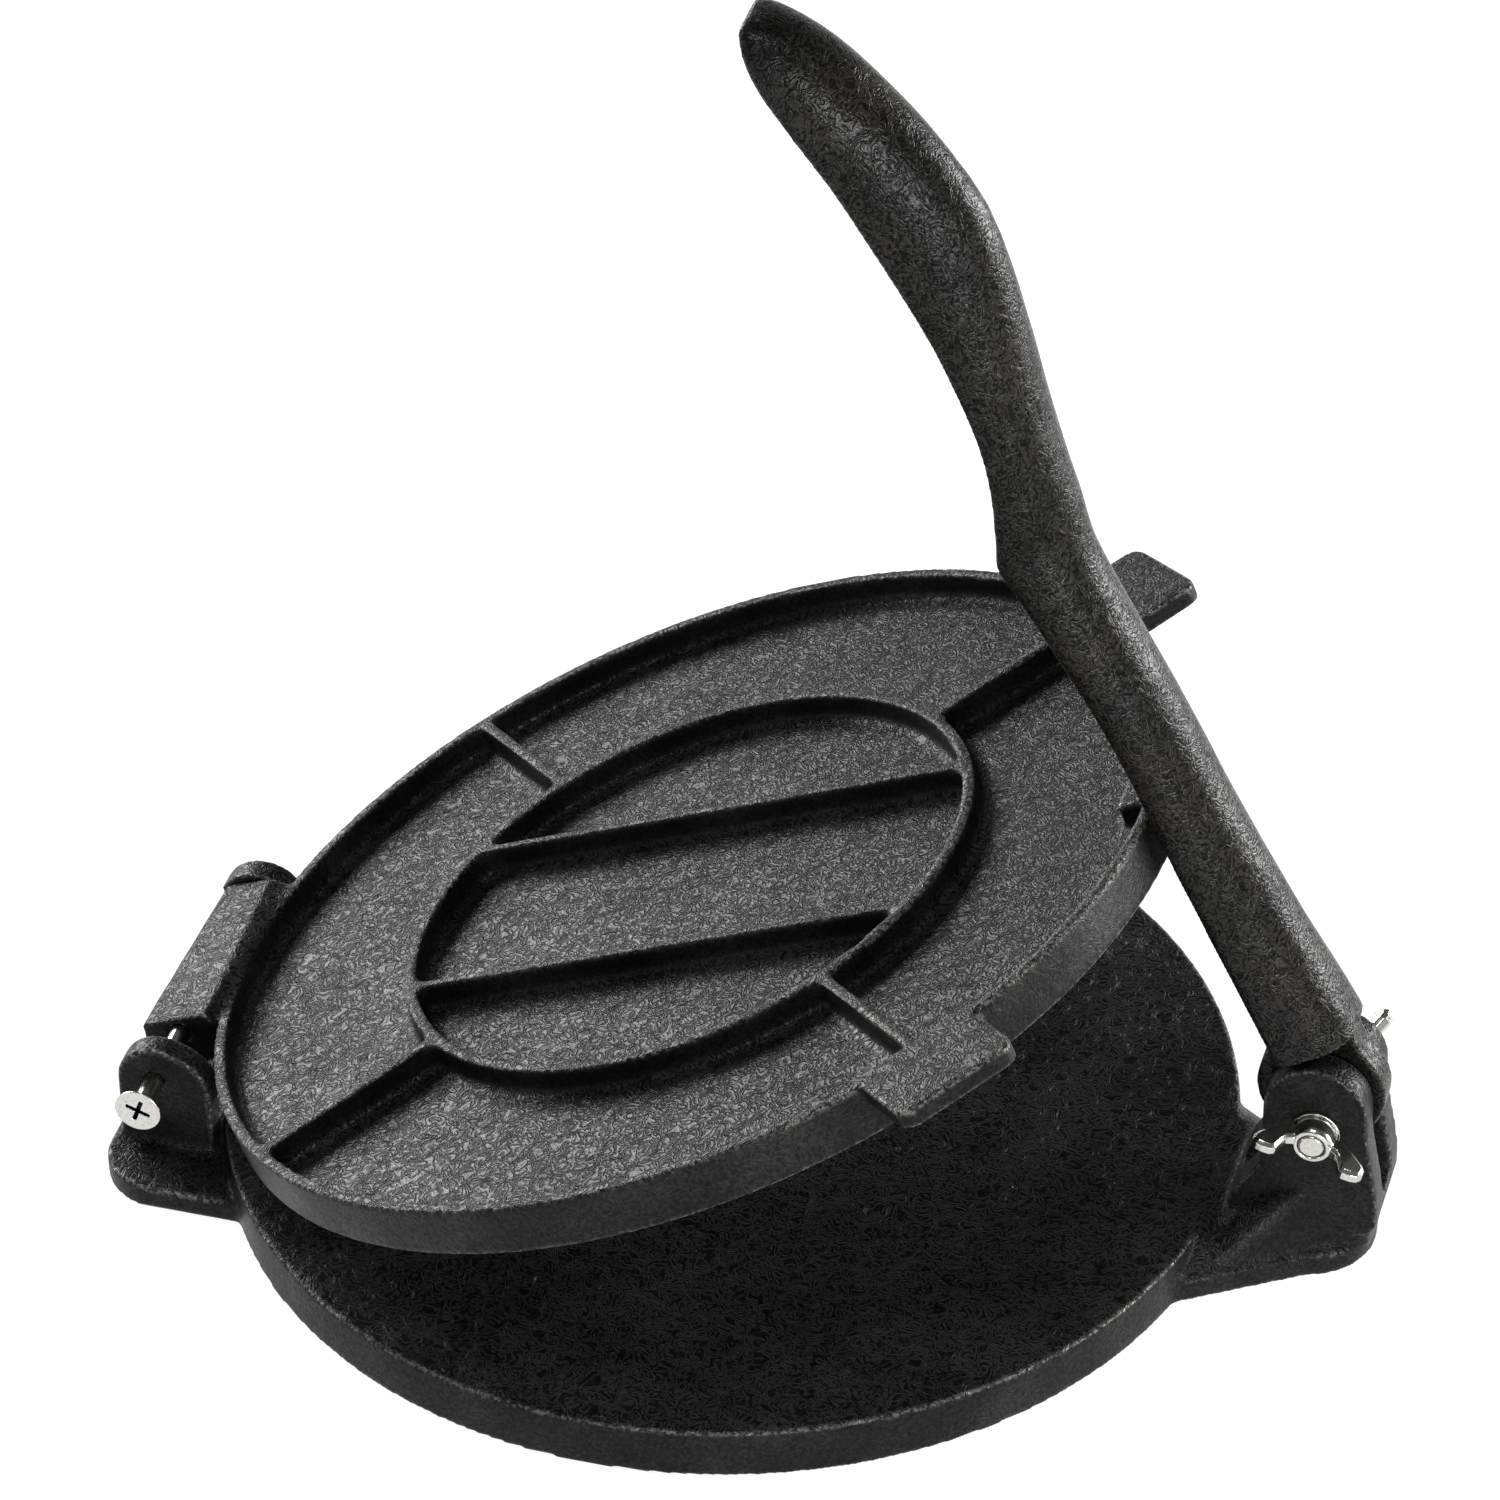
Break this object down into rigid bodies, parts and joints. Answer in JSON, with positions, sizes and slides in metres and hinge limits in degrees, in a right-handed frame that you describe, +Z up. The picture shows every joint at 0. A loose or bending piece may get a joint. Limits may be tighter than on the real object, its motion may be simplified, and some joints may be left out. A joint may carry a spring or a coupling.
{
  "type": "tortilla press",
  "caption": "Cast-iron tortilla press: two round ribbed plates joined by a hinge, and a long lever pivoted in a clevis opposite that bears down on the upper plate.",
  "frame": {"origin": "centre of the base disc's underside, on the table", "axes": "+X from the hinge to the lever's pivot, +Y along both pivots, away from the hinge screw's head, +Z up"},
  "size_m": [0.3213, 0.26, 0.3357],
  "materials": {
    "cast_iron": "seasoned, fine crinkled skin",
    "plated_steel": "bright plated"
  },
  "bodies": {
    "base": {"base": "cast_iron"},
    "top_plate": {"top_plate": "cast_iron"},
    "lever": {"lever": "cast_iron"},
    "hinge_screw": {"hinge_screw": "plated_steel"},
    "wing_bolt": {"wing_bolt": "plated_steel", "near_washer": "plated_steel"},
    "wing_nut": {"wing_nut": "plated_steel", "far_washer": "plated_steel"}
  },
  "joints": [
    {"name": "plate_hinge", "type": "hinge", "parent": "base", "child": "top_plate", "pos_m": [-0.1381, -0.0077, 0.0265], "axis": [0, -1, 0], "range_deg": [-22.5, 80]},
    {"name": "lever_pivot", "type": "hinge", "parent": "base", "child": "lever", "pos_m": [0.1545, 0, 0.0445], "axis": [0, 1, 0], "range_deg": [0, 110]},
    {"name": "screw_slide", "type": "slide", "parent": "base", "child": "hinge_screw", "axis": [0, 1, 0], "range_m": [-0.09, 0.0075]},
    {"name": "wing_bolt_turn", "type": "hinge", "parent": "base", "child": "wing_bolt", "pos_m": [0.1545, 0, 0.0445], "axis": [0, 1, 0], "continuous": true},
    {"name": "wing_nut_turn", "type": "hinge", "parent": "base", "child": "wing_nut", "pos_m": [0.1545, 0, 0.0445], "axis": [0, 1, 0], "continuous": true}
  ]
}
